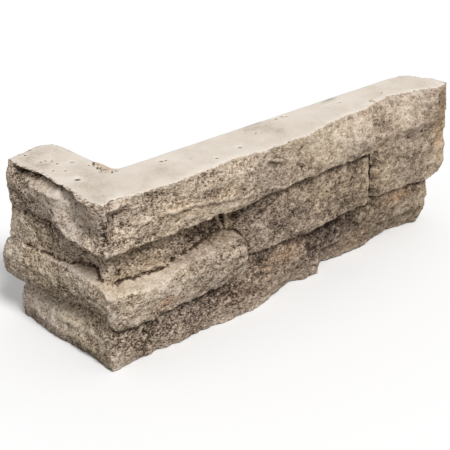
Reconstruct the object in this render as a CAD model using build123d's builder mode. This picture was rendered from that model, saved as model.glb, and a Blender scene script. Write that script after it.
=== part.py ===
from build123d import *
import os
import random

# Corner piece of ledge stone cladding, cast in one piece.
# Millimetres. The origin is the wall corner at bed level: the long leg runs along +X with
# its wall face on Y = 0, the short leg runs along +Y with its wall face on X = 0, +Z is up.
# Both legs stand outside the wall corner, so their split faces look along -Y and -X.

# Driving dimensions of the casting
course_height = 100.0
long_length = 284.0
short_length = 87.0
long_thickness = 34.0
short_thickness = 32.0
core_depth = 20.0
root_lap = 2.0
inner_radius = 6.0
end_slant = 5.0
short_break_along = 10.0
short_break_across = 8.0
long_break = 12.0
chip_start = 91.0
chip_length = 42.0
chip_depth = 5.7
chip_height = 7.0

# Heights of the courses in the split face, above the bed
base_top = 37.0
slab_bed = 24.0
slab_height = 23.0
top_bed = 70.0
block_drop = 3.0
end_stone_rise = 1.0
course_lap = 4.0
ledge_rise = 3.0
ledge_depth = 11.0

# Lengths of the stones along the face, and how far their ends stand from one another
slab_long = 101.0
slab_proud = 5.0
block_lap = 9.0
end_stone_length = 71.0
base_setback = 2.0

# Grain of the split faces: one step of the relief tables, and the chance moves of the facets
relief = 1.0
facet = 3.8
grain_depth = 0.8
facet_shift = 0.9
edge_wander = 0.5

# Places that follow from the driving dimensions
face_y = -long_thickness
face_x = -short_thickness
short_end_y = face_y + short_length
short_tip_y = short_end_y + end_slant
long_end_x = face_x + long_length
stone_root = core_depth + root_lap
slab_top = slab_bed + slab_height
joint_at = long_length - end_stone_length


def spot(along, lean):
    """Root point in the core and unit step outwards, at a length from the outer corner.

    Lengths are negative along the short leg and positive along the long leg. Near the corner
    the steps fan out from one root, so that stones turn the corner without a seam. lean is
    how far the root lies beyond the face at the end of the short leg.
    """
    root_x = face_x + stone_root
    root_y = face_y + stone_root
    if along < 0:
        px, py = face_x, face_y - along
        root_y = max(root_y, py + lean * (along / short_length) ** 2)
    else:
        px, py = face_x + along, face_y
        root_x = max(root_x, px)
    return (root_x, root_y), ((px - root_x) / stone_root, (py - root_y) / stone_root)


def between(levels, values, at):
    """Value at a level, in a straight line between the two rows around it."""
    for low, high, before, after in zip(levels, levels[1:], values, values[1:]):
        if at <= high:
            return before + (after - before) * (at - low) / (high - low)
    return values[-1]


def spread(levels, step):
    """The levels with even steps added between them, none much longer than step."""
    out = [levels[0]]
    for low, high in zip(levels, levels[1:]):
        count = max(1, round((high - low) / step))
        out += [low + (high - low) * (k + 1) / count for k in range(count)]
    return out


def flat_facets(rings):
    """Closed solid through a row of rings, with flat triangles from each ring to the next.

    The two ways of halving a four-sided gap take turns, so that the grain has no slant.
    """
    faces = [Face(Wire.make_polygon(rings[0])), Face(Wire.make_polygon(rings[-1]))]
    for row, (ring, after) in enumerate(zip(rings, rings[1:])):
        for k in range(len(ring)):
            a, b = ring[k - 1], ring[k]
            c, d = after[k], after[k - 1]
            outer, other = ([a, b, c], [a, c, d]) if (row + k) % 2 else ([b, c, d], [a, b, d])
            if b != c:
                faces.append(Face(Wire.make_polygon(outer)))
            if a != d:
                faces.append(Face(Wire.make_polygon(other)))
    return Solid(Shell(faces))


def split_stone(start, end, bed, top, shares, sections, seed,
                ledge=False, lean=end_slant, flat_bed=False, flat_top=False):
    """One stone of the stack, rough on its face and closed towards the core.

    start and end are lengths from the outer corner. Each section says where it lies, as a share
    of the stone's run on its leg, then, in steps of relief, how far the lower and upper edges
    lie above bed and top and how far the face stands out at each share of the stone's height.
    A ledge is a top that shows: it rises towards the foot of the stone above. flat_bed and
    flat_top are for edges that a mould wall made. At the other edges the root runs on by
    course_lap into the stones below and above, so that the joints are only as deep as the relief.
    """
    chance = random.Random(seed)
    if start < 0:
        places = [-start * s[0] if s[0] < 0 else end * s[0] for s in sections]
    else:
        places = [start + (end - start) * s[0] for s in sections]
    steps = spread(places, facet)
    face_shares = spread(shares, facet / (top - bed))
    root_bed = bed if flat_bed else bed - course_lap
    root_top = top if flat_top else top + course_lap
    if ledge:
        root_top = top + 2 * ledge_rise
    rings = []
    for at in steps:
        inner = steps[0] < at < steps[-1]
        (rx, ry), (sx, sy) = spot(at, lean)
        low = bed + relief * between(places, [s[1] for s in sections], at)
        high = top + relief * between(places, [s[2] for s in sections], at)
        outs = [
            relief * between(places, [s[3][k] for s in sections], at) for k in range(len(shares))
        ]
        if inner and not flat_bed:
            low += chance.uniform(-edge_wander, edge_wander)
        if inner and not flat_top:
            high += chance.uniform(-edge_wander, edge_wander)

        def point(out, z):
            reach = stone_root + out
            return (rx + sx * reach, ry + sy * reach, z)

        ring = [(rx, ry, root_bed)]
        for share in face_shares:
            out = between(shares, outs, share) + chance.uniform(-grain_depth, grain_depth)
            z = low + (high - low) * share
            if share not in (0.0, 1.0):
                z += chance.uniform(-facet_shift, facet_shift)
            ring.append(point(out, z))
        if ledge:
            for share in (0.5, 1.0):
                out = outs[-1] - share * (outs[-1] + ledge_depth)
                wander = chance.uniform(-edge_wander, edge_wander)
                ring.append(point(out, high + ledge_rise * share + wander))
        ring.append((rx, ry, root_top))
        rings.append(ring)
    return flat_facets(rings)


# Core: the flat-backed L that every stone of the face grows out of, rounded in the wall corner
# and broken off at the wall arris of the short leg's end
break_share = 0.3
with BuildPart() as core:
    with BuildSketch():
        with BuildLine():
            Polyline(
                (0, 0),
                (0, short_tip_y - short_break_along),
                (-break_share * short_break_across, short_tip_y - break_share * short_break_along),
                (-short_break_across, short_tip_y),
                (face_x + core_depth, short_tip_y),
                (face_x + core_depth, face_y + core_depth),
                (long_end_x, face_y + core_depth),
                (long_end_x, 0),
                close=True,
            )
        make_face()
    extrude(amount=course_height)
    wall_corner = core.edges().filter_by(Axis.Z).sort_by_distance((0, 0, course_height / 2))[0]
    fillet(wall_corner, radius=inner_radius)

# Base course, wandering and undercut towards the far end of the long leg
with BuildPart() as base_course:
    add(split_stone(
        base_setback - short_length, long_length - base_setback, 0.0, base_top,
        (0.0, 0.22, 0.43, 0.70, 1.0),
        [
            (-1.00, 0, 0, (-1, 1, 0, -5, -8)),
            (-0.85, 0, 0, (-1, 1, 0, -6, -9)),
            (-0.60, 0, 0, (0, 2, 0, -7, -10)),
            (-0.40, 0, 0, (-1, 1, 0, -6, -10)),
            (-0.20, 0, 0, (-2, 0, -1, -6, -10)),
            (-0.07, 0, 0, (-1, 1, 0, -4, -8)),
            (0.0, 0, 0, (0, 1, 0, -3, -6)),
            (0.058, 0, 0, (-1, 0, -1, -4, -6)),
            (0.121, 0, 0, (-1, 0, -2, -4, -6)),
            (0.183, 0, 0, (1, 1, -1, -4, -6)),
            (0.231, 0, 0, (-1, 1, -1, -4, -6)),
            (0.299, 0, 0, (2, 1, -1, -4, -6)),
            (0.367, 0, 0, (2, 2, 1, -4, -7)),
            (0.412, 0, 0, (0, 1, 1, -3, -7)),
            (0.461, 0, 0, (-4, -1, 0, -3, -7)),
            (0.507, 0, 0, (-8, -4, -2, -4, -7)),
            (0.55, 0, 0, (-4, -3, -2, -5, -7)),
            (0.588, 0, 0, (-4, -3, -3, -6, -7)),
            (0.608, 0, 0, (-9, -8, -6, -6, -7)),
            (0.637, 0, 0, (-13, -9, -6, -6, -7)),
            (0.692, 0, 0, (-10, -8, -6, -5, -6)),
            (0.759, 0, 0, (-10, -8, -6, -5, -6)),
            (0.816, 0, 0, (-13, -9, -5, -4, -5)),
            (0.868, 0, 0, (-16, -11, -5, -3, -5)),
            (0.929, 0, 0, (-13, -8, -4, -3, -5)),
            (0.965, 0, 0, (-10, -6, -3, -3, -6)),
            (1.0, 0, 0, (-18, -16, -14, -14, -15)),
        ],
        seed=11, flat_bed=True,
    ))

# Slab: the proud ledge that turns the corner, its sloping top open to view
with BuildPart() as slab:
    add(split_stone(
        -short_length - slab_proud, slab_long, slab_bed, slab_top, (0.0, 0.3, 0.65, 1.0),
        [
            (-1.00, 4, 3, (4, 7, 7, 3)),
            (-0.90, 4, 4, (5, 8, 8, 4)),
            (-0.80, 2.5, 5, (3, 6, 7, 4)),
            (-0.65, 3, 5, (2, 5, 6, 3)),
            (-0.52, 5, 5.5, (2, 5, 5, 3)),
            (-0.40, 7, 6, (2, 4, 5, 3)),
            (-0.30, 9, 6, (2, 4, 4, 3)),
            (-0.20, 10, 5.5, (1, 3, 4, 3)),
            (-0.10, 9.5, 4, (0, 2, 3, 2)),
            (-0.04, 8.5, 3.5, (0, 2, 3, 2)),
            (0.0, 5, 1, (0, 2, 3, 4)),
            (0.03, 2, -0.5, (1, 2, 3, 4)),
            (0.06, 0, -1.5, (1, 2, 3, 3)),
            (0.14, 0, -1.5, (2, 3, 3, 3)),
            (0.22, 0, -2.5, (2, 3, 4, 3)),
            (0.30, -1, -3.5, (2, 3, 4, 3)),
            (0.37, 1, -3.5, (2, 3, 4, 3)),
            (0.44, 1, -0.5, (2, 3, 4, 3)),
            (0.50, 1, 1.5, (2, 3, 4, 2)),
            (0.63, 1.5, 1.5, (2, 3, 4, 2)),
            (0.77, 1, 3, (2, 4, 4, 2)),
            (0.86, 4, 4.5, (2, 4, 4, 2)),
            (0.94, 6.5, 4, (2, 4, 4, 1)),
            (0.98, 8, 2, (1, 3, 3, 0)),
            (1.0, 9, 0, (-5, -4, -4, -5)),
        ],
        seed=23, ledge=True, lean=0.0,
    ))

# Recessed stone between the slab and the top course, with a square lump at the short end
with BuildPart() as recess_stone:
    add(split_stone(
        -short_length, slab_long, slab_top, top_bed + course_lap, (0.0, 0.3, 0.6, 1.0),
        [
            (-1.00, 0, 0, (3, 4, 3, 1)),
            (-0.85, 0, 0, (2, 3, 2, 0)),
            (-0.70, 0, 0, (1, 2, 1, 0)),
            (-0.62, 0, 0, (-1, 0, -1, -2)),
            (-0.48, 0, 0, (1, 1, 0, -2)),
            (-0.40, 0, 0, (-1, -1, -1, -3)),
            (-0.35, 0, 0, (-5, -4, -4, -5)),
            (-0.28, 0, 0, (-8, -7, -7, -7)),
            (-0.17, 0, 0, (-7, -7, -7, -8)),
            (-0.08, 0, 0, (-4, -3, -4, -7)),
            (0.0, 0, 0, (-6, -5, -5, -7)),
            (0.06, 0, 0, (-9, -8, -7, -8)),
            (0.18, 0, 0, (-9, -7, -7, -8)),
            (0.33, 0, 0, (-9, -7, -7, -9)),
            (0.45, 0, 0, (-6, -6, -7, -10)),
            (0.62, 0, 0, (-7, -8, -10, -12)),
            (0.75, 0, 0, (-7, -10, -13, -14)),
            (0.88, 0, 0, (-6, -11, -14, -15)),
            (1.0, 0, 0, (-8, -12, -15, -16)),
        ],
        seed=37,
    ))

# Square block under the top course, from behind the slab's end to the upright joint
with BuildPart() as block:
    add(split_stone(
        slab_long - block_lap, joint_at, base_top - block_drop, top_bed + course_lap,
        (0.0, 0.3, 0.6, 1.0),
        [
            (0.0, 0, 0, (-9, -8, -9, -10)),
            (0.08, 0, 0, (-6, -5, -6, -8)),
            (0.13, 0.5, 0, (-4, -4, -4, -7)),
            (0.20, 1, 0, (-1, -2, -3, -6)),
            (0.33, 2, 0, (0, -1, -2, -5)),
            (0.50, 1, 0, (1, 0, -2, -5)),
            (0.65, 3, 0, (1, 0, -1, -4)),
            (0.80, 3.5, 0, (0, 0, -1, -4)),
            (0.96, 3, 0, (-1, -1, -2, -5)),
            (1.0, 4, 0, (-6, -6, -6, -7)),
        ],
        seed=41,
    ))

# End stone: full height above the base, with a step in its face and a broken outer arris
with BuildPart() as end_stone:
    add(split_stone(
        joint_at, long_length, base_top + end_stone_rise, course_height,
        (0.0, 0.2, 0.4, 0.57, 0.66, 0.81, 1.0),
        [
            (0.0, 1, 0, (-5, -5, -5, -5, -5, -6, -8)),
            (0.05, 1, 0, (-1, -1, -2, -2, -2, -4, -9)),
            (0.10, 1, 0, (-1, -1, -1, -1, -1, -4, -9)),
            (0.32, 0.5, 0, (-1, 0, -1, -1, 0, -5, -12)),
            (0.50, -0.5, 0, (-1, 0, -1, -1.5, 1, -3, -8)),
            (0.70, -2, 0, (-1, 0, 0, -1.5, 1, -1, -5)),
            (0.82, -1, 0, (-1, 0, 0, -0.5, 0.5, 1, 0)),
            (1.0, 0, 0, (-6, -3, -2, -2, -2, -2, -3)),
        ],
        seed=53, flat_top=True,
    ))

# Top course: turns the corner with a notch knocked out of its arris, and overhangs the recess
with BuildPart() as top_course:
    add(split_stone(
        -short_length, joint_at, top_bed, course_height, (0.0, 0.2, 0.45, 0.7, 0.87, 1.0),
        [
            (-1.00, 3, 0, (2, 3, 3, 3, 1, 1)),
            (-0.87, 3, 0, (1, 2, 3, 3, -2, 3)),
            (-0.69, 4, 0, (1, 2, 3, 3, -4, 0)),
            (-0.55, 5.5, 0, (1, 2, 2, 4, -4, 0)),
            (-0.47, 5, 0, (3, 4, 3, 3, -3, 1)),
            (-0.39, 5, 0, (4, 4, 1, -2, -4, 1)),
            (-0.30, 3, 0, (5, 3, -2, -5, -2, 1)),
            (-0.20, 3, 0, (5, 1, -4, -3, 0, 3)),
            (-0.12, 3, 0, (5, 1, -3, -1, 2, 4)),
            (-0.06, 2.5, 0, (4, 1, -1, 0, 1, 1)),
            (0.0, 1, 0, (3, 1, -1, -1, 0, -1)),
            (0.02, 1, 0, (3, 0, -4, -4, 0, -5)),
            (0.05, 1, 0, (2, 0, -3, -4, 0, -5)),
            (0.075, 1.5, 0, (2, 1, 0, -1, 0, -2)),
            (0.11, 1, 0, (2, 1, 1, 0, -1, 0)),
            (0.20, 1, 0, (2, 2, 3, 2, 1, 1)),
            (0.29, 0.5, 0, (2, 3, 4, 4, 2, 0)),
            (0.35, 1.5, 0, (2, 3, 4, 4, 1, -1)),
            (0.385, 1, 0, (2, 3, 4, 3, 1, -3)),
            (0.44, 0, 0, (3, 4, 4, 2, 0, -3)),
            (0.51, 2, 0, (2, 2, 3, 3, 2, 1)),
            (0.59, 1.5, 0, (2, 2, 2, 2, 1, 1)),
            (0.68, 3.5, 0, (2, 2, 1, 0, 1, 1)),
            (0.74, 2, 0, (2, 2, 1, 0, 0, 0)),
            (0.81, 3.5, 0, (2, 3, 1, -1, -3, -4)),
            (0.90, 2.5, 0, (2, 3, 3, 0, -4, -7)),
            (0.98, 2, 0, (1, 2, 2, -1, -4, -6)),
            (1.0, 2, 0, (-4, -4, -4, -5, -6, -7)),
        ],
        seed=67, flat_top=True,
    ))

# Line of the break at the long leg's end, seen from above, in shares of long_break from the
# wall arris of that end
break_line = [(-2.1, 0), (-1.0, -0.1), (-0.55, -0.4), (-0.35, -1.2), (1.0, -2.6)]

# Line of the chip in the top arris of the long wall face, in shares of its length and depth
chip_line = [(0, 0), (0.14, -0.5), (0.27, -1), (0.42, -0.93), (0.62, -0.7), (0.82, -0.39), (1, 0)]

# The casting: all stones grown together with the core
with BuildPart() as corner_piece:
    add(core.part)
    add([base_course.part, slab.part, recess_stone.part])
    add([block.part, end_stone.part, top_course.part])
    with BuildSketch():
        with BuildLine():
            Polyline(
                *[(long_end_x + x * long_break, y * long_break) for x, y in break_line],
                (long_end_x + long_break, long_break),
                (long_end_x + break_line[0][0] * long_break, long_break),
                close=True,
            )
        make_face()
    extrude(amount=course_height, mode=Mode.SUBTRACT)
    for level, reach in ((course_height, chip_depth), (course_height - chip_height, -0.1 * chip_depth)):
        with BuildSketch(Plane.XY.offset(level)):
            with BuildLine():
                Polyline(
                    *[(chip_start + x * chip_length, y * reach) for x, y in chip_line],
                    (chip_start + chip_length, chip_depth),
                    (chip_start, chip_depth),
                    close=True,
                )
            make_face()
    loft(ruled=True, mode=Mode.SUBTRACT)

os.makedirs("parts", exist_ok=True)
corner_piece.part.label = "corner_piece"
export_step(corner_piece.part, "parts/corner_piece.step")
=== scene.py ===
import math

import bmesh
import bpy
import numpy as np
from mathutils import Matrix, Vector, noise
from mathutils.kdtree import KDTree


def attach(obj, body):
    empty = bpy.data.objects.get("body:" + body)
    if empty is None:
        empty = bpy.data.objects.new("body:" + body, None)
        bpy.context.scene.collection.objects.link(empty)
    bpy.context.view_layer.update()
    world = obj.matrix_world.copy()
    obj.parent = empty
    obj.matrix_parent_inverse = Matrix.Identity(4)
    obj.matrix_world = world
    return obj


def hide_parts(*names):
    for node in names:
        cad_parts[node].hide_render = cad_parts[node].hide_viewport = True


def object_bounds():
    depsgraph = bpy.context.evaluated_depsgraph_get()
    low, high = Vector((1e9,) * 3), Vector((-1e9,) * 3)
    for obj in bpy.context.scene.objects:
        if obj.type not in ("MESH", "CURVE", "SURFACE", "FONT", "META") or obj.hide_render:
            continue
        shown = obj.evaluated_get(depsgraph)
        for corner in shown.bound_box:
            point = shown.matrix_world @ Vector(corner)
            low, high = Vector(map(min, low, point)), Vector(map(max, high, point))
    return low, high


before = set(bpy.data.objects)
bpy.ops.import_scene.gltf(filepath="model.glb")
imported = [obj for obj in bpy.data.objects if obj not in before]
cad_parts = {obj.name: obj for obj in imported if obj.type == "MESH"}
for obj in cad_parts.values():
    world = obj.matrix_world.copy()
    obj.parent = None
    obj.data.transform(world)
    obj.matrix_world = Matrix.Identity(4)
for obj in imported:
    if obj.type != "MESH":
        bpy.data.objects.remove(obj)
cad_low, cad_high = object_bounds()

# The cast stone corner: one pour of cement, sand and light aggregate in a rubber mould taken from
# split rock. The mould gave it stacked ledges with a coarse split face, and a smooth top and bed
# with air pits. Its open side was struck off flat while wet, as its two wall faces.

# Sizes in millimetres: the height of the course, the planes where the two split faces begin, and
# the grain that the mesh is cut into
MM = 0.001
COURSE = 1000 * cad_high.z
FACE_X, FACE_Y = -32.0, -34.0
GRAIN = 0.64
MOST_TRIANGLES = 196000

# How far in the arris of the top and bed is chipped, and how deep; the low waves of both, and their
# width; the ripples of the wall faces, their width and height, and how far these faces are sunk;
# and the fine grit of the bump
ARRIS, ARRIS_CHIP = 2.4, 1.1
SKIN_WAVE, SKIN_WAVE_WIDTH = 0.12, 16.0
RIPPLE_RISE, RIPPLE_WIDTH, RIPPLE_HEIGHT, WALL_SUNK = 0.35, 14.0, 9.0, 0.3
GRIT_RISE = 0.75

# How deep the creases of the split face are; the share of its relief that its ledges lack; the
# share of it that the chipped spots of the top have; and the share of it that goes up or down
CREASE_DEPTH, LEDGE_CALM, CHIPPED_RELIEF, UPWARD = 0.6, 0.6, 0.5, 0.6

# A lip of cement that squeezed out over the back edge of the short leg, by the inner corner: how
# far it stands out, and its middle and half length along that edge
LIP, LIP_MIDDLE, LIP_HALF = 1.5, 9.0, 9.5

# Air pits in the moulded top: x, y, radius and depth
PITS = [
    (-9.1, 25.6, 1.3, 1.0), (-19.2, 36.6, 1.0, 0.8), (-22.1, 36.8, 0.8, 0.7),
    (-16.5, 34.1, 0.8, 0.7), (-16.7, 28.7, 0.9, 0.7), (-21.2, 3.7, 1.9, 1.6),
    (-18.9, 17.9, 1.0, 0.8), (-23.8, 22.4, 1.0, 0.8), (-4.9, 15.3, 0.9, 0.6),
    (28.2, -6.7, 1.6, 1.2), (30.6, -7.6, 1.2, 0.9), (121.9, -2.8, 1.3, 1.0),
    (127.0, -2.6, 1.2, 0.9), (129.4, -4.0, 1.0, 0.8), (74.2, -21.8, 1.2, 0.8),
    (-22.8, 51.0, 1.0, 0.7), (53.9, -24.5, 1.1, 0.8), (172.0, -9.0, 1.1, 0.8),
    (205.0, -15.0, 0.9, 0.7), (96.0, -12.0, 0.9, 0.6),
]

# Breaks in the split face: length along it from the outer corner, which is negative on the short
# leg, height, half length, half height, turn in degrees, and how far the break stands out, or in
# where it is negative
BREAKS = [
    (46.0, 84.5, 14.0, 2.0, 0.0, 1.2), (74.0, 81.5, 20.0, 2.0, -9.0, 1.2),
    (46.0, 88.5, 14.0, 3.0, 0.0, -0.7), (76.0, 86.0, 20.0, 3.0, -9.0, -0.7),
    (22.0, 82.0, 12.0, 1.8, 22.0, 0.9), (20.0, 86.5, 12.0, 2.5, 22.0, -0.6),
    (120.0, 92.5, 9.0, 1.6, -20.0, 1.3), (121.0, 89.0, 9.0, 2.4, -20.0, -1.5),
    (143.0, 82.0, 6.0, 2.0, -25.0, -1.2), (100.0, 78.0, 10.0, 1.4, 14.0, 0.8),
    (162.0, 46.5, 5.0, 1.6, 0.0, 1.4), (131.8, 51.2, 2.2, 1.2, -20.0, 1.2),
    (167.0, 43.0, 8.0, 4.0, 0.0, -0.8), (201.0, 74.0, 6.0, 4.0, 0.0, -1.0),
    (92.0, 61.0, 3.0, 5.0, 0.0, -1.5), (-55.0, 92.5, 22.0, 1.6, -4.0, 0.9),
    (-30.0, 75.0, 16.0, 1.8, -20.0, 0.8), (-60.0, 82.0, 9.0, 5.0, 20.0, -1.0),
    (-24.0, 55.0, 9.0, 3.0, -10.0, -0.5), (-60.0, 38.0, 8.0, 4.0, 15.0, -0.9),
    (-36.0, 40.0, 8.0, 4.0, -15.0, -0.9), (-40.0, 24.0, 14.0, 4.0, 8.0, -1.2),
    (-40.0, 16.0, 14.0, 2.5, 6.0, 1.0), (-20.0, 8.0, 10.0, 4.0, -12.0, 0.8),
    (60.0, 36.0, 12.0, 5.0, 8.0, -0.5), (30.0, 33.0, 9.0, 5.0, -10.0, -0.5),
    (150.0, 24.0, 6.0, 5.0, 30.0, -1.0), (160.0, 20.0, 7.0, 8.0, 0.0, -1.2),
    (228.0, 86.0, 9.0, 5.0, 15.0, -0.8), (246.0, 90.0, 8.0, 3.0, -15.0, 0.8),
    (-2.0, 87.0, 0.9, 9.0, 3.0, -1.0), (1.5, 85.0, 0.9, 10.0, -4.0, -1.1),
    (4.5, 88.0, 0.9, 8.0, 5.0, -1.0), (8.0, 86.0, 0.9, 7.0, -6.0, -0.9),
    (11.0, 89.0, 0.8, 5.0, 8.0, -0.8),
]

# Broad swells and dips of the split face, laid out as the breaks are. They leave the ends alone,
# because the next piece butts there.
SWELLS = [
    (-15.0, 91.0, 17.0, 12.0, 0.0, 4.5), (278.0, 50.0, 12.0, 14.0, 0.0, 3.2),
    (280.0, 42.0, 9.0, 8.0, 0.0, 2.0), (272.0, 20.0, 12.0, 16.0, 0.0, -1.6),
    (-86.0, 92.0, 9.0, 9.0, 0.0, 1.6), (90.0, 60.0, 5.0, 7.0, 0.0, 1.6),
]

# Patches of the split face's tone: partly where the pigment that was dusted into the mould lies
# thicker or thinner, and partly painted shade in recesses, under lips, beside joints and in
# creases, and painted light on overhung facets. Length along the face, height, reach along, reach
# up, and shift of the tone from dark to pale
DUSTINGS_AND_PAINTED_SHADING = [
    (30.0, 84.0, 18.0, 10.0, 0.06), (15.0, 91.0, 8.0, 8.0, 0.16), (3.0, 78.0, 7.0, 5.0, -0.32),
    (60.0, 76.0, 45.0, 5.0, 0.28), (28.0, 75.0, 16.0, 6.0, -0.14), (80.0, 98.5, 22.0, 3.0, -0.15),
    (92.0, 69.0, 14.0, 3.0, -0.16), (40.0, 73.0, 14.0, 4.0, -0.12), (68.0, 86.0, 12.0, 3.0, -0.15),
    (111.0, 85.0, 22.0, 10.0, -0.07), (153.0, 93.0, 11.0, 9.0, 0.24),
    (172.0, 90.0, 12.0, 8.0, 0.10), (224.0, 88.0, 12.0, 12.0, -0.12),
    (245.0, 90.0, 14.0, 9.0, 0.16), (13.0, 60.0, 20.0, 7.0, -0.05), (74.0, 57.0, 22.0, 6.0, -0.42),
    (97.0, 61.0, 5.0, 5.0, -0.25), (91.0, 60.0, 3.5, 6.0, 0.50), (150.0, 54.0, 65.0, 17.0, -0.20),
    (156.0, 66.0, 12.0, 6.0, -0.24), (118.0, 60.0, 10.0, 6.0, -0.12), (115.0, 44.0, 9.0, 7.0, 0.16),
    (108.0, 56.0, 12.0, 14.0, -0.12), (196.0, 58.0, 22.0, 14.0, -0.07),
    (216.0, 47.0, 4.5, 18.0, -0.28), (240.0, 55.0, 30.0, 15.0, -0.07),
    (257.0, 30.0, 12.0, 4.0, -0.38), (196.0, 68.0, 8.0, 6.0, -0.10), (72.0, 47.0, 22.0, 4.0, -0.04),
    (13.0, 33.0, 25.0, 8.0, 0.08), (26.0, 37.0, 7.0, 6.0, 0.15), (5.0, 48.0, 6.0, 4.5, 0.28),
    (0.0, 60.0, 5.0, 7.0, -0.18), (106.0, 36.0, 2.5, 8.0, -0.35), (114.0, 28.0, 9.0, 4.0, -0.40),
    (9.0, 18.0, 9.0, 5.0, -0.28), (0.0, 18.0, 7.0, 6.0, -0.20), (65.0, 12.0, 50.0, 13.0, -0.30),
    (60.0, 22.0, 60.0, 4.0, -0.12), (88.0, 19.0, 12.0, 6.0, -0.20), (62.0, 17.0, 10.0, 5.0, -0.14),
    (30.0, 14.0, 16.0, 7.0, -0.14), (147.0, 24.0, 8.0, 6.0, 0.20), (170.0, 22.0, 50.0, 12.0, -0.22),
    (185.0, 30.0, 26.0, 7.0, -0.34), (143.0, 37.0, 12.0, 5.0, -0.25),
    (146.0, 32.0, 8.0, 3.5, -0.20), (195.0, 20.0, 14.0, 8.0, -0.14),
    (161.0, 20.0, 12.0, 12.0, -0.20), (230.0, 22.0, 25.0, 12.0, -0.04),
    (264.0, 18.0, 10.0, 10.0, -0.12), (135.0, 24.0, 16.0, 10.0, 0.08), (5.0, 4.0, 8.0, 8.0, 0.15),
    (-13.0, 90.0, 9.0, 8.0, 0.28), (-34.0, 95.0, 9.0, 4.0, 0.15), (-1.0, 84.0, 6.0, 8.0, -0.28),
    (-42.0, 91.0, 12.0, 5.0, 0.30), (-62.0, 95.0, 16.0, 3.5, -0.15), (-58.0, 88.0, 18.0, 3.5, 0.15),
    (-82.0, 80.0, 6.0, 6.0, 0.15), (-62.0, 76.0, 22.0, 5.0, -0.12), (-14.0, 81.0, 12.0, 4.0, -0.16),
    (-38.0, 70.0, 16.0, 4.0, -0.16), (-79.0, 63.0, 12.0, 9.0, 0.12), (-86.0, 66.0, 4.0, 8.0, -0.20),
    (-28.0, 79.0, 5.0, 5.0, 0.25), (-40.0, 62.0, 25.0, 9.0, -0.10), (-75.0, 43.0, 20.0, 9.0, 0.20),
    (-42.0, 38.0, 22.0, 5.0, -0.10), (-38.0, 28.0, 22.0, 4.0, -0.22),
    (-50.0, 15.0, 34.0, 8.0, 0.36), (-45.0, 1.0, 40.0, 4.0, -0.20),
]

# Places where the skin of the top is chipped off and the sand shows: x, y and the two half widths
CHIPPED = [(0.4, 9.0, 3.4, 8.6), (188.6, -25.0, 1.0, 7.0), (-2.5, 2.0, 3.4, 2.6)]

# Places where a crease is worn open and soft, so it is shallower and its painted shade is
# lighter: laid out as the dustings and painted shading are, with the share of it that is gone
WORN_CREASES = [
    (6.0, 89.0, 9.0, 9.0, 0.85), (-17.0, 91.0, 14.0, 7.0, 0.90), (-42.0, 95.0, 12.0, 4.0, 0.50),
    (-67.0, 95.0, 12.0, 4.0, 0.60), (-68.0, 53.0, 12.0, 4.0, 0.60), (-35.0, 55.0, 16.0, 4.0, 0.60),
    (85.0, 58.0, 10.0, 6.0, 0.60), (94.0, 50.0, 8.0, 4.0, 0.60), (107.0, 26.0, 5.0, 4.0, 1.0),
]

# Iron stains, laid out as the dustings and painted shading are, with their strength
IRON = [
    (140.0, 25.0, 14.0, 7.0, 0.75), (118.0, 24.0, 10.0, 6.0, 0.35), (38.0, 31.0, 7.0, 4.0, 0.9),
    (242.0, 31.0, 14.0, 5.0, 0.8), (277.0, 75.0, 6.0, 30.0, 0.7), (100.0, 14.0, 20.0, 8.0, 0.35),
    (55.0, 80.0, 30.0, 8.0, 0.25), (200.0, 10.0, 20.0, 8.0, 0.4), (-13.0, 90.0, 9.0, 8.0, 0.3),
]

# The grain of the split face: width of its chips, their height, and how far they stand out; the
# same for torn cement and for sand; and how far, over what width, it is all bent out of its rows.
# The seed fixes where the bends start, in place of the clock.
CHIP_WIDTH, CHIP_HEIGHT, CHIP_RISE = 6.5, 4.5, 0.35
TEAR_WIDTH, TEAR_RISE = 2.9, 0.28
SAND_WIDTH, SAND_RISE = 1.9, 0.45
BEND, BEND_WIDTH = 1.2, 6.0
BEND_SEED = 3


def facets(point):
    """Height of a broken face, where each cell of the stone split along a plane of its own tilt."""
    heights = []
    for gap, centre in zip(*noise.voronoi(point)):
        # Times 37, each centre falls in a cell of its own, whose random vector is the tilt
        tilt = noise.cell_vector(centre * 37.0 + Vector((3.0, 3.0, 3.0)))
        heights.append(tilt.dot(point - centre) + 0.35 * tilt.z - 0.9 * gap)
    return max(heights)


def split_relief(spot):
    """How far the split face stands out at a spot: chips, torn cement and sand grains."""
    bent = spot + BEND * noise.noise_vector(spot / BEND_WIDTH)
    chips = facets(Vector((bent.x / CHIP_WIDTH, bent.y / CHIP_WIDTH, bent.z / CHIP_HEIGHT)))
    torn = noise.fractal(bent / TEAR_WIDTH, 0.7, 2.1, 2)
    gaps = noise.voronoi(bent / SAND_WIDTH)[0]
    sand = min(gaps[1] - gaps[0], 0.5) - 0.25
    return CHIP_RISE * chips + TEAR_RISE * torn + SAND_RISE * sand


def step(low, high, value):
    """Smooth rise from 0 to 1 as a value goes from low to high."""
    t = np.clip((value - low) / (high - low), 0.0, 1.0)
    return t * t * (3.0 - 2.0 * t)


def numbers(mesh, name, size):
    """One number or three for each vertex of a mesh, as an array."""
    out = np.zeros(len(mesh.vertices) * size, np.float32)
    mesh.vertices.foreach_get(name, out)
    return out.reshape(-1, size).astype(float)


def eased(values, pairs, rounds):
    """Values of the vertices after each has moved half way to the mean of its neighbours, some
    rounds over. It softens them over about 0.45 mm times the root of the rounds."""
    count = len(values)
    ends = np.concatenate([pairs[:, 0], pairs[:, 1]])
    others = np.concatenate([pairs[:, 1], pairs[:, 0]])
    shares = np.maximum(np.bincount(ends, minlength=count), 1)
    for _ in range(rounds):
        sums = [np.bincount(ends, values[others, k], count) for k in range(values.shape[1])]
        values = 0.5 * values + 0.5 * np.stack(sums, 1) / shares[:, None]
    return values


def edge_pairs(mesh):
    """The two vertices of each edge."""
    out = np.zeros(len(mesh.edges) * 2, np.int32)
    mesh.edges.foreach_get("vertices", out)
    return out.reshape(-1, 2)


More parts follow.
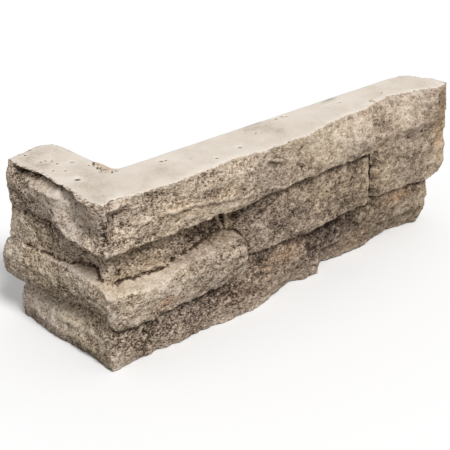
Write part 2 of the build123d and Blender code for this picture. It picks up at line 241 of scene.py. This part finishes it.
def object_from(shape, name):
    """An object in the scene with the mesh of a bmesh, which is freed."""
    mesh = bpy.data.meshes.new(name)
    shape.to_mesh(mesh)
    shape.free()
    made = bpy.data.objects.new(name, mesh)
    bpy.context.scene.collection.objects.link(made)
    return made


def apply_modifiers(obj):
    """Gives an object the mesh that its modifiers make of it, and takes them off."""
    graph = bpy.context.evaluated_depsgraph_get()
    mesh = bpy.data.meshes.new_from_object(obj.evaluated_get(graph), depsgraph=graph)
    mesh.name = obj.name
    obj.data = mesh
    obj.modifiers.clear()


def finder(points, chosen):
    """A tree that finds the nearest one of the chosen points."""
    tree = KDTree(len(chosen))
    for i in chosen:
        tree.insert(points[i], i)
    tree.balance()
    return tree


def patches(places, length, height):
    """Sum of soft patches at each point of the split face."""
    out = np.zeros(len(length))
    for at, up, reach, rise, amount in places:
        out += amount * np.exp(-(((length - at) / reach) ** 2) - ((height - up) / rise) ** 2)
    return out


# A copy of the casting, closed and cut into even grains
shape = bmesh.new()
shape.from_mesh(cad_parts["corner_piece"].data)
bmesh.ops.remove_doubles(shape, verts=shape.verts, dist=0.01 * MM)
stone = object_from(shape, "cast_stone")
remesh = stone.modifiers.new("grains", "REMESH")
remesh.mode = "VOXEL"
remesh.voxel_size = GRAIN * MM
apply_modifiers(stone)

# Which parts the mould made smooth, which were struck off flat, and which are split face. A point
# is on a flat face if it lies NEAR its plane and its normal points SQUARE out of it. The backs
# reach to BEHIND, past the rounding between them, and what looks along +X beyond END is the end.
NEAR, SQUARE, BEHIND, END = 0.7, 0.7, -7.0, 5.0
pairs = edge_pairs(stone.data)
rest = numbers(stone.data, "co", 3) / MM
facing = eased(numbers(stone.data, "normal", 3), pairs, 3)
facing /= np.linalg.norm(facing, axis=1)[:, None] + 1e-9
x, y, z = rest.T
on_top = (COURSE - z < NEAR) & (facing[:, 2] > SQUARE)
on_bed = (z < NEAR) & (facing[:, 2] < -SQUARE)
on_wall = (y > -NEAR) & (facing[:, 1] > SQUARE) & (x > BEHIND)
on_wall |= (x > -NEAR) & (facing[:, 0] > SQUARE) & (x < END)
on_wall |= (x > BEHIND) & (y > BEHIND) & (x < 1.0) & (y < 1.0) & ~on_top & ~on_bed
chipped = np.zeros(len(rest), bool)
for px, py, half_x, half_y in CHIPPED:
    ragged = 0.25 * np.sin(2.1 * x) * np.sin(1.7 * y)
    chipped |= on_top & (np.hypot((x - px) / half_x, (y - py) / half_y) + ragged < 1.0)
on_top &= ~chipped
smooth_skin = on_top | on_bed
split = ~(smooth_skin | on_wall)
share_split = eased(split.astype(float)[:, None], pairs, 2)[:, 0]

# Length along the face from the outer corner
on_short = (x - FACE_X) < (y - FACE_Y)
along = np.where(on_short, FACE_Y - y, x - FACE_X)

# Creases, where one stone of the stack meets the next: what lies lower than its surroundings,
# both close by and a few millimetres around. Dots that stand alone aren't creases.
groove = eased(rest, pairs, 14)
valley = eased(groove, pairs, 50)
crease = step(0.08, 0.24, ((groove - rest) * facing).sum(1))
crease *= step(0.3, 0.6, ((valley - rest) * facing).sum(1))
crease *= step(0.12, 0.3, eased(crease[:, None], pairs, 24)[:, 0])
crease *= 1.0 - np.minimum(patches(WORN_CREASES, along, z), 1.0)

# The relief of the split face, calmer on the ledges that face up
noise.seed_set(BEND_SEED)
raised = np.array([split_relief(Vector(p)) for p in rest])
raised -= raised[split].mean()
ledge = step(0.55, 0.85, eased(facing, pairs, 12)[:, 2])
lift = (1.0 - LEDGE_CALM * ledge) * raised - CREASE_DEPTH * crease

# The breaks, and the swells, which fade out towards both ends
to_end = np.where(on_short, facing[:, 1], facing[:, 0])
off_end = 1.0 - np.clip(to_end, 0.0, 1.0) ** 2
for places, share in ((BREAKS, 1.0), (SWELLS, off_end)):
    for at, up, half_length, half_height, turn, amount in places:
        run, rise = along - at, z - up
        slant = math.radians(turn)
        across = (run * math.cos(slant) + rise * math.sin(slant)) / half_length
        over = (rise * math.cos(slant) - run * math.sin(slant)) / half_height
        lift += share * amount * np.clip(1.0 - across ** 2 - over ** 2, 0.0, 1.0)
lift *= share_split * np.where(chipped, CHIPPED_RELIEF, 1.0)
outward = facing.copy()
outward[:, 2] *= UPWARD

# The wall faces, struck off while wet: low ripples and drags, a little inside the plane
stretch = (RIPPLE_WIDTH, RIPPLE_WIDTH, RIPPLE_HEIGHT)
ripple = np.array([noise.fractal(Vector(p), 0.8, 2.0, 4) for p in rest / stretch])
lift = np.where(on_wall, RIPPLE_RISE * ripple - WALL_SUNK, lift)

# The moulded top and bed: nearly flat, with a chipped arris and air pits
edge = finder(rest, np.flatnonzero(split))
sink = np.zeros(len(rest))
for i in np.flatnonzero(smooth_skin):
    gap = edge.find(rest[i])[2]
    spot = Vector(rest[i])
    sink[i] = SKIN_WAVE * noise.fractal(spot / SKIN_WAVE_WIDTH, 0.8, 2.0, 3)
    if gap < ARRIS:
        # Chips about 3 mm and 1.4 mm wide, with stretches between them that are whole
        worn = 0.5 + noise.noise(spot / 3.2) + 0.6 * noise.noise(spot / 1.4)
        sink[i] -= max(worn, 0.0) * ARRIS_CHIP * (1 - gap / ARRIS) ** 1.5
for px, py, radius, depth in PITS:
    gap = np.hypot(x - px, y - py)
    sink -= np.where(on_top, depth * (1.0 - step(0.3 * radius, 1.25 * radius, gap)), 0.0)
moved = rest + outward * lift[:, None]
moved[:, 2] += np.where(on_bed, -sink, sink)
moved[:, 2] = np.clip(moved[:, 2], 0.0, COURSE)

# The lip of cement on the back edge of the short leg, only near the top
on_lip = np.clip(1.0 - ((y - LIP_MIDDLE) / LIP_HALF) ** 2, 0.0, 1.0)
on_lip = on_lip * step(91.0, 98.0, z) * step(-4.0, -1.0, x) * (y > 0)
moved[:, 0] += LIP * on_lip * (x < END)
stone.data.vertices.foreach_set("co", (moved * MM).astype(np.float32).ravel())
stone.data.update()

# What the material reads. Hollow and dip are how deep a point lies below what is close by and
# what is a few millimetres around it; the material darkens by them, and along the creases, as
# painted shade. Tone is the dusting patches with their painted shading. Pitted is how strongly
# grit and sand show, and falls off from the short leg's end to the long one's. Where the top is
# chipped, it is a little brown with iron.
HOLLOW_FULL, DIP_FULL = 0.3, 0.8
hollow = ((eased(moved, pairs, 5) - moved) * facing).sum(1)
dip = ((eased(moved, pairs, 40) - moved) * facing).sum(1)
tone = patches(DUSTINGS_AND_PAINTED_SHADING, along, moved[:, 2]) * split * ~chipped
iron = np.clip(patches(IRON, along, moved[:, 2]), 0, 1) * split
marks = {
    "skin": eased(smooth_skin.astype(float)[:, None], pairs, 1)[:, 0],
    "struck": eased(on_wall.astype(float)[:, None], pairs, 2)[:, 0],
    "ledge": ledge * split,
    "crease": crease * split,
    "hollow": np.clip(hollow / HOLLOW_FULL, -0.5, 1.0),
    "dip": np.clip(dip / DIP_FULL, -0.3, 1.0),
    "tone": tone + 0.05 * chipped,
    "pitted": 1.0 - step(-90.0, 240.0, along),
    "iron": np.where(chipped, 0.3, iron),
}
whole = finder(moved, range(len(moved)))

# Thinned where it is flat, then the marks are read back onto the vertices that are left
thin = stone.modifiers.new("thinned", "DECIMATE")
thin.ratio = min(1.0, MOST_TRIANGLES / (2.0 * len(rest)))
thin.use_collapse_triangulate = True
apply_modifiers(stone)
kept = numbers(stone.data, "co", 3) / MM
nearest = np.array([whole.find(spot)[1] for spot in kept])
for name, values in marks.items():
    layer = stone.data.attributes.new(name, "FLOAT", "POINT")
    layer.data.foreach_set("value", values[nearest].astype(np.float32))
for face in stone.data.polygons:
    face.use_smooth = True


def ink(code):
    """An sRGB hex colour as linear RGBA."""
    parts = [int(code[k:k + 2], 16) / 255 for k in (1, 3, 5)]
    return [p / 12.92 if p <= 0.04045 else ((p + 0.055) / 1.055) ** 2.4 for p in parts] + [1.0]


def bare_tree(owner):
    """The node tree of a material or a world, emptied."""
    owner.use_nodes = True
    owner.node_tree.nodes.clear()
    return owner.node_tree


def add(tree, kind, settings=(), inputs=(), stops=()):
    """Adds a node with its settings; an input is a value, or a node or output to link from, and
    the stops are the places and colours of a ramp."""
    made = tree.nodes.new(kind)
    for name, value in dict(settings).items():
        setattr(made, name, value)
    if stops:
        made.color_ramp.elements.remove(made.color_ramp.elements[1])
    for at, code in stops:
        first = at == stops[0][0]
        stop = made.color_ramp.elements[0] if first else made.color_ramp.elements.new(at)
        stop.position, stop.color = at, ink(code)
    for name, value in dict(inputs).items():
        if isinstance(value, bpy.types.Node):
            value = next(out for out in value.outputs if out.enabled)
        if isinstance(value, bpy.types.NodeSocket):
            tree.links.new(value, made.inputs[name])
        else:
            made.inputs[name].default_value = value
    return made


# Cast stone, dusted with pigment: sand and cement broken open on the split face, so it is matt
# and speckled there with dark pores and pale grains, and close and pale on the skin. Painted
# shade darkens its hollows, dips and creases.
# A noise of scale 1 has lumps about 0.6 m wide, so this over their size in mm gives the scale.
LUMPS_OF_1_MM = 600
cast = bpy.data.materials.new("cast_stone_split_and_moulded")
tree = bare_tree(cast)
place = add(tree, "ShaderNodeTexCoord").outputs["Object"]
mark = {}
for name in marks:
    mark[name] = add(tree, "ShaderNodeAttribute", {"attribute_name": name}).outputs["Fac"]

# The grain lies as it was bedded: its lumps are wider than they are high, and tilt a few degrees
bedded = add(tree, "ShaderNodeMapping", inputs={
    "Vector": place, "Scale": (0.8, 0.8, 1.35), "Rotation": (0.12, -0.16, 0.0),
})
grains = {}
for name, size, detail in (
    ("grit", 0.5, 2.0), ("sand", 0.9, 2.0), ("gravel", 1.9, 2.0), ("lumps", 4.5, 3.0),
    ("clouds", 16.0, 4.0),
):
    grains[name] = add(tree, "ShaderNodeTexNoise", inputs={
        "Vector": bedded, "Scale": LUMPS_OF_1_MM / size, "Detail": detail, "Roughness": 0.6,
    })

# Split face: dark pores, pale sand and ridges, drifting with the pigment, with painted shade in
# the creases, hollows and dips and the painted shading of the dusting patches. Each level is a sum
# of grains and marks, and its first value centres it on its ramp.
level = -1.34
for name in ("grit", "sand"):
    pores = add(tree, "ShaderNodeMath", {"operation": "MULTIPLY"}, {
        0: grains[name], 1: mark["pitted"],
    })
    level = add(tree, "ShaderNodeMath", {"operation": "MULTIPLY_ADD"}, {
        0: pores, 1: 1.1, 2: level,
    })
for source, weight in (
    (mark["pitted"], -1.1), (grains["grit"], 0.9), (grains["sand"], 0.9), (grains["gravel"], 0.6),
    (grains["lumps"], 0.6), (grains["clouds"], 0.9), (mark["hollow"], -0.18), (mark["dip"], -0.12),
    (mark["crease"], -0.24), (mark["tone"], 1.0), (mark["ledge"], 0.05),
):
    level = add(tree, "ShaderNodeMath", {"operation": "MULTIPLY_ADD"}, {
        0: source, 1: weight, 2: level,
    })
split_colour = add(tree, "ShaderNodeValToRGB", inputs={"Fac": level}, stops=[
    (0.0, "#33281f"), (0.2, "#65574b"), (0.42, "#9a8977"), (0.6, "#c0ad97"), (0.8, "#dac9b4"),
    (1.0, "#f0e4d2"),
])

# The ledges that face up are less broken, and paler, partly as painted light from above, with
# painted shade in their hollows, dips and creases. In Mix, input 0 is the share, and 6 and 7 are
# the two colours.
level = -0.85
for source, weight in (
    (grains["grit"], 0.5), (grains["sand"], 0.5), (grains["gravel"], 0.6), (grains["clouds"], 1.0),
    (mark["hollow"], -0.3), (mark["dip"], -0.15), (mark["crease"], -0.4), (mark["tone"], 1.0),
):
    level = add(tree, "ShaderNodeMath", {"operation": "MULTIPLY_ADD"}, {
        0: source, 1: weight, 2: level,
    })
ledge_colour = add(tree, "ShaderNodeValToRGB", inputs={"Fac": level}, stops=[
    (0.0, "#6f5f50"), (0.3, "#bdac99"), (0.5, "#d8c9b7"), (0.8, "#ebdfd0"),
])
share = add(tree, "ShaderNodeMath", {"operation": "MULTIPLY"}, {0: mark["ledge"], 1: 0.8})
split_colour = add(tree, "ShaderNodeMix", {"data_type": "RGBA"}, {
    0: share, 6: split_colour, 7: ledge_colour,
})

# Iron-brown stains, and a faint drift from warm to cool that is about 28 mm wide
stain = add(tree, "ShaderNodeMath", {"operation": "MULTIPLY"}, {
    0: mark["iron"], 1: grains["lumps"],
})
drift = add(tree, "ShaderNodeTexNoise", inputs={
    "Vector": place, "Scale": LUMPS_OF_1_MM / 28, "Detail": 2.0,
})
drift = add(tree, "ShaderNodeValToRGB", inputs={"Fac": drift}, stops=[
    (0.36, "#fffcf6"), (0.5, "#fcfafa"), (0.64, "#f8f6fa"),
])
for share, tint in ((stain, ink("#e4b67e")), (1.0, drift)):
    split_colour = add(tree, "ShaderNodeMix", {"data_type": "RGBA", "blend_type": "MULTIPLY"}, {
        0: share, 6: split_colour, 7: tint,
    })

# Moulded skin: pale cement with a faint cloudiness and specks, and painted shade in the air pits
# and other hollows
level = -0.2
for source, weight in ((grains["clouds"], 0.7), (grains["grit"], 0.3), (mark["hollow"], -0.5)):
    level = add(tree, "ShaderNodeMath", {"operation": "MULTIPLY_ADD"}, {
        0: source, 1: weight, 2: level,
    })
skin_colour = add(tree, "ShaderNodeValToRGB", inputs={"Fac": level}, stops=[
    (0.0, "#5a4c40"), (0.12, "#b9ab9a"), (0.25, "#d9cdbf"), (0.4, "#e6dccf"),
])

# Wall faces: bare grey-beige cement, rougher and a little darker
level = -0.5
for source, weight in ((grains["clouds"], 1.0), (grains["sand"], 0.6), (grains["grit"], 0.4)):
    level = add(tree, "ShaderNodeMath", {"operation": "MULTIPLY_ADD"}, {
        0: source, 1: weight, 2: level,
    })
struck_colour = add(tree, "ShaderNodeValToRGB", inputs={"Fac": level}, stops=[
    (0.2, "#8a7d6e"), (0.4, "#b5a897"), (0.7, "#cdc1b0"),
])

# The skin ends in a ragged line, grain by grain
border = add(tree, "ShaderNodeMath", {"operation": "MULTIPLY_ADD"}, {
    0: grains["sand"], 1: 0.8, 2: -0.4,
})
border = add(tree, "ShaderNodeMath", {"operation": "ADD"}, {0: border, 1: mark["skin"]})
on_skin = add(tree, "ShaderNodeMapRange", inputs={
    "Value": border, "From Min": 0.42, "From Max": 0.58,
})
colour = split_colour
for share, over in ((mark["struck"], struck_colour), (on_skin, skin_colour)):
    colour = add(tree, "ShaderNodeMix", {"data_type": "RGBA"}, {0: share, 6: colour, 7: over})

# Sand grains and torn edges too fine for the mesh, about 0.5 mm wide, and hardly any on the skin
rough = add(tree, "ShaderNodeMapRange", inputs={
    "Value": mark["skin"], "From Min": 0.3, "From Max": 0.6, "To Min": 1.0, "To Max": 0.12,
})
height = add(tree, "ShaderNodeMath", {"operation": "MULTIPLY"}, {0: grains["grit"], 1: rough})
bump = add(tree, "ShaderNodeBump", inputs={
    "Strength": 1.0, "Distance": GRIT_RISE * MM, "Height": height,
})
surface = add(tree, "ShaderNodeBsdfPrincipled", inputs={
    "Base Color": colour, "Roughness": 0.95, "IOR": 1.5, "Specular IOR Level": 0.12, "Normal": bump,
})
add(tree, "ShaderNodeOutputMaterial", inputs={"Surface": surface})
stone.data.materials.clear()
stone.data.materials.append(cast)

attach(stone, "root")
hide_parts("corner_piece")

# The plain pale floor and backdrop: a flat sheet of paper far wider than the view. The camera
# sees it white; to the stone it is a mid grey, so that it throws little light up under the ledges.
FLOOR_HALF = 6.0
floor_shape = bmesh.new()
bmesh.ops.create_grid(floor_shape, x_segments=1, y_segments=1, size=FLOOR_HALF)
floor = object_from(floor_shape, "floor")
paper = bpy.data.materials.new("white_paper")
tree = bare_tree(paper)
seen = add(tree, "ShaderNodeLightPath")
shown = seen.outputs["Is Camera Ray"]
for ray in ("Is Glossy Ray", "Is Transmission Ray"):
    shown = add(tree, "ShaderNodeMath", {"operation": "MAXIMUM"}, {0: shown, 1: seen.outputs[ray]})
paper_colour = add(tree, "ShaderNodeMix", {"data_type": "RGBA"}, {
    0: shown, 6: ink("#8c8b89"), 7: ink("#ffffff"),
})
sheet = add(tree, "ShaderNodeBsdfDiffuse", inputs={"Color": paper_colour})
add(tree, "ShaderNodeOutputMaterial", inputs={"Surface": sheet})
floor.data.materials.append(paper)

# Soft studio light: an even white room, which the camera sees at full white, and one large lamp
# above and in front of the long leg
ROOM = 0.45
LAMP_POWER, LAMP_ANGLE = 2.3, math.radians(18)
LAMP_SIDE = Vector((-0.17, -0.62, 0.77))
room = bpy.data.worlds.new("white_room")
tree = bare_tree(room)
seen = add(tree, "ShaderNodeLightPath")
shown = seen.outputs["Is Camera Ray"]
for ray in ("Is Glossy Ray", "Is Transmission Ray"):
    shown = add(tree, "ShaderNodeMath", {"operation": "MAXIMUM"}, {0: shown, 1: seen.outputs[ray]})
power = add(tree, "ShaderNodeMath", {"operation": "MULTIPLY_ADD"}, {
    0: shown, 1: 1.0 - ROOM, 2: ROOM,
})
glow = add(tree, "ShaderNodeBackground", inputs={"Color": ink("#ffffff"), "Strength": power})
add(tree, "ShaderNodeOutputWorld", inputs={"Surface": glow})
bpy.context.scene.world = room

lamp_data = bpy.data.lights.new("soft_lamp", "SUN")
lamp_data.energy = LAMP_POWER
lamp_data.angle = LAMP_ANGLE
lamp = bpy.data.objects.new("soft_lamp", lamp_data)
lamp.rotation_mode = "QUATERNION"
lamp.rotation_quaternion = LAMP_SIDE.to_track_quat("Z", "Y")
bpy.context.scene.collection.objects.link(lamp)

# The camera stands where the photograph was taken from, and its lens gives the same frame. Both
# come from the straight edges of the top and bed.
CAMERA_PLACE = (-0.354893, -0.476399, 0.351931)
CAMERA_YAW, CAMERA_PITCH = math.radians(42.5624), math.radians(25.7347)
CAMERA_LENS, CAMERA_SENSOR = 94.384, 36.0
eye_data = bpy.data.cameras.new("camera")
eye_data.lens = CAMERA_LENS
eye_data.sensor_width = CAMERA_SENSOR
eye = bpy.data.objects.new("camera", eye_data)
eye.location = CAMERA_PLACE
eye.rotation_euler = (math.pi / 2 - CAMERA_PITCH, 0.0, -CAMERA_YAW)
bpy.context.scene.collection.objects.link(eye)
bpy.context.scene.camera = eye
bpy.context.scene.view_settings.view_transform = "Standard"
